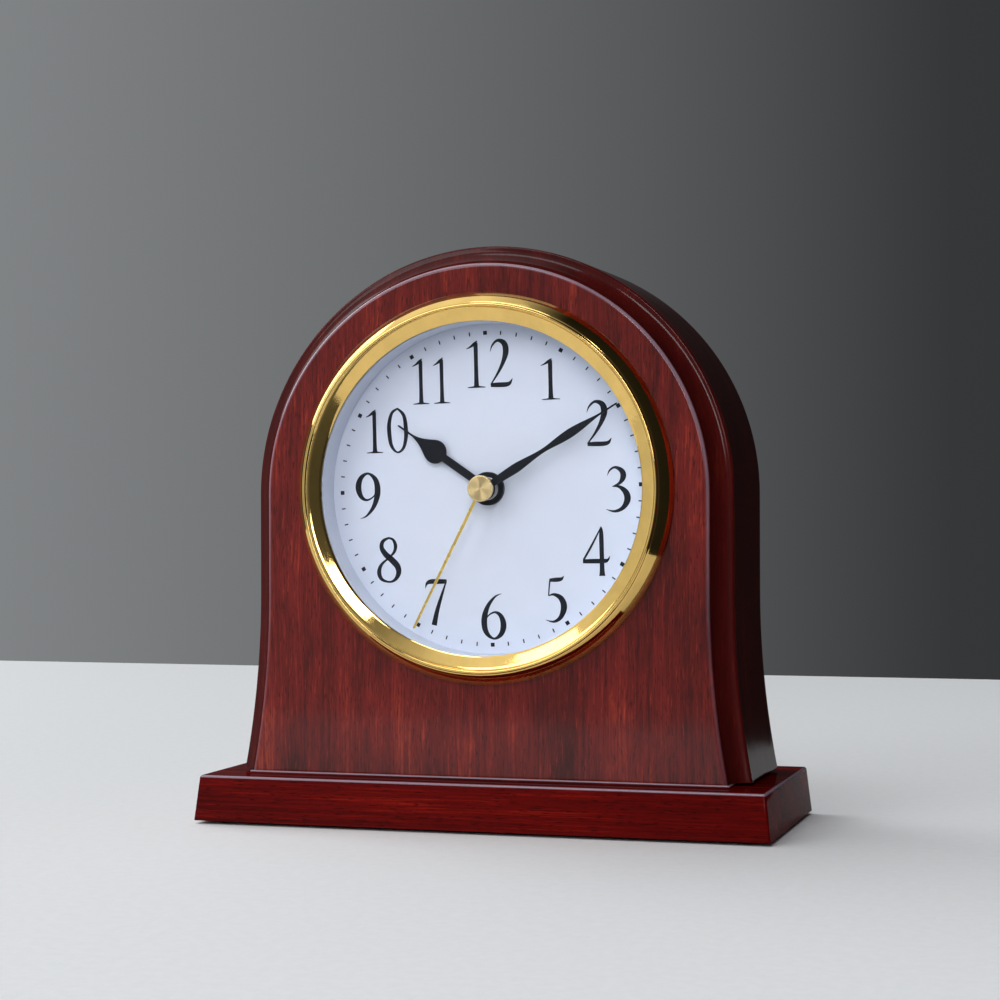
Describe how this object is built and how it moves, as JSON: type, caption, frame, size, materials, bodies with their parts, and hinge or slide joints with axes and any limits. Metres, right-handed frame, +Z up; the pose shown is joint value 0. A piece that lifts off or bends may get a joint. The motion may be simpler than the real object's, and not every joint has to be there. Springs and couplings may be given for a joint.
{
  "type": "mantel clock",
  "caption": "Arched wooden mantel clock on a plinth, with a round gilt bezel, numbered dial, three hands, battery quartz movement and hinged rear door.",
  "frame": {"origin": "middle of the underside of the felt pad, on the surface the clock stands on", "axes": "+Z up, the dial faces -Y, +X to the right as seen from the front"},
  "size_m": [0.1682, 0.0704, 0.166],
  "materials": {
    "felt": "pressed felt",
    "lacquered_plinth": "gloss lacquer over red-brown stain, grain along the length",
    "lacquered_seat": "gloss lacquer over red-brown stain",
    "lacquered_case": "gloss lacquer over red-brown stain, grain up the sides",
    "lacquered_front": "gloss lacquer over red-brown stain, upright grain",
    "back_board": "satin stained board",
    "brass": "satin brass",
    "steel": "bright steel",
    "magnet": "moulded",
    "polished_gold": "polished gilt",
    "lens_glass": "clear flat glass",
    "rubber": "soft",
    "dial_white": "satin white enamel",
    "can_steel": "drawn steel",
    "black_plastic": "moulded",
    "white_plastic": "moulded acetal",
    "pipe_metal": "bright",
    "copper_wire": "enamelled copper wire",
    "board_green": "solder mask",
    "chip_black": "epoxy blob",
    "battery_sleeve": "printed sleeve",
    "black_paint": "satin black",
    "gold_hand": "gilt",
    "brushed_gold": "turned gilt",
    "knob_black": "moulded, fluted"
  },
  "bodies": {
    "case": {"felt_pad": "felt", "plinth": "lacquered_plinth", "seat_plate": "lacquered_seat", "case_bolt_left": "steel", "case_bolt_right": "steel", "front_panel": "lacquered_front", "case_shell": "lacquered_case", "back_panel": "back_board", "back_screw_low_left": "brass", "back_screw_low_right": "brass", "back_screw_high_left": "brass", "back_screw_high_right": "brass", "magnet_block": "magnet", "hinge_lower_panel_leaf": "brass", "hinge_upper_panel_leaf": "brass", "hinge_lower_pin": "brass", "hinge_upper_pin": "brass", "hinge_screws_panel": "brass", "bezel": "polished_gold", "lens": "lens_glass", "lens_gasket": "rubber", "dial_ring": "dial_white", "dial": "dial_white", "dial_can": "can_steel", "grip_ring": "rubber", "movement_washer": "rubber", "fixing_nut": "brass", "movement_case": "black_plastic", "movement_cover": "black_plastic", "bridge_plate": "steel", "stator": "steel", "coil_core": "steel", "coil_bobbin": "white_plastic", "coil_winding": "copper_wire", "circuit_board": "board_green", "driver_chip": "chip_black", "quartz_crystal": "steel", "battery": "battery_sleeve", "contact_plus": "steel", "contact_minus": "steel"},
    "door": {"rear_door": "back_board", "door_knob": "brass", "catch_plate": "steel", "hinge_lower_door_leaf": "brass", "hinge_upper_door_leaf": "brass", "hinge_screws_door": "brass"},
    "rotor_body": {"rotor": "steel"},
    "fifth_body": {"fifth_wheel": "white_plastic"},
    "seconds_body": {"seconds_wheel": "white_plastic", "seconds_hand": "gold_hand", "seconds_cap": "brushed_gold"},
    "third_body": {"third_wheel": "white_plastic"},
    "minute_body": {"centre_wheel": "pipe_metal", "minute_hand": "black_paint"},
    "motion_body": {"minute_wheel": "white_plastic"},
    "hour_body": {"hour_wheel": "pipe_metal", "hour_hand": "black_paint"},
    "setting_body": {"setting_knob": "knob_black"}
  },
  "joints": [
    {"name": "door_hinge", "type": "hinge", "parent": "case", "child": "door", "pos_m": [-0.0387, 0.0252, 0.088], "axis": [0, 0, 1], "range_deg": [0, 120]},
    {"name": "seconds_spin", "type": "hinge", "parent": "case", "child": "seconds_body", "pos_m": [0, 0, 0.09655], "axis": [0, 1, 0], "continuous": true},
    {"name": "rotor_spin", "type": "hinge", "parent": "case", "child": "rotor_body", "pos_m": [-0.00309, 0, 0.10732], "axis": [0, 1, 0], "continuous": true},
    {"name": "fifth_spin", "type": "hinge", "parent": "case", "child": "fifth_body", "pos_m": [-0.00118, 0, 0.10243], "axis": [0, 1, 0], "continuous": true},
    {"name": "third_spin", "type": "hinge", "parent": "case", "child": "third_body", "pos_m": [0.00676, 0, 0.10067], "axis": [0, 1, 0], "continuous": true},
    {"name": "minute_spin", "type": "hinge", "parent": "case", "child": "minute_body", "pos_m": [0, 0, 0.09655], "axis": [0, 1, 0], "continuous": true},
    {"name": "motion_spin", "type": "hinge", "parent": "case", "child": "motion_body", "pos_m": [-0.00702, 0, 0.10039], "axis": [0, 1, 0], "continuous": true},
    {"name": "hour_spin", "type": "hinge", "parent": "case", "child": "hour_body", "pos_m": [0, 0, 0.09655], "axis": [0, 1, 0], "continuous": true},
    {"name": "setting_spin", "type": "hinge", "parent": "case", "child": "setting_body", "pos_m": [-0.01447, 0, 0.09748], "axis": [0, 1, 0], "continuous": true}
  ],
  "couplings": [
    {"joint": "fifth_spin", "follows": "seconds_spin", "ratio": -5},
    {"joint": "rotor_spin", "follows": "seconds_spin", "ratio": 30},
    {"joint": "third_spin", "follows": "seconds_spin", "ratio": -0.125},
    {"joint": "minute_spin", "follows": "seconds_spin", "ratio": 0.016667},
    {"joint": "motion_spin", "follows": "seconds_spin", "ratio": -0.0055556},
    {"joint": "hour_spin", "follows": "seconds_spin", "ratio": 0.0013889},
    {"joint": "setting_spin", "follows": "seconds_spin", "ratio": 0.016667}
  ]
}
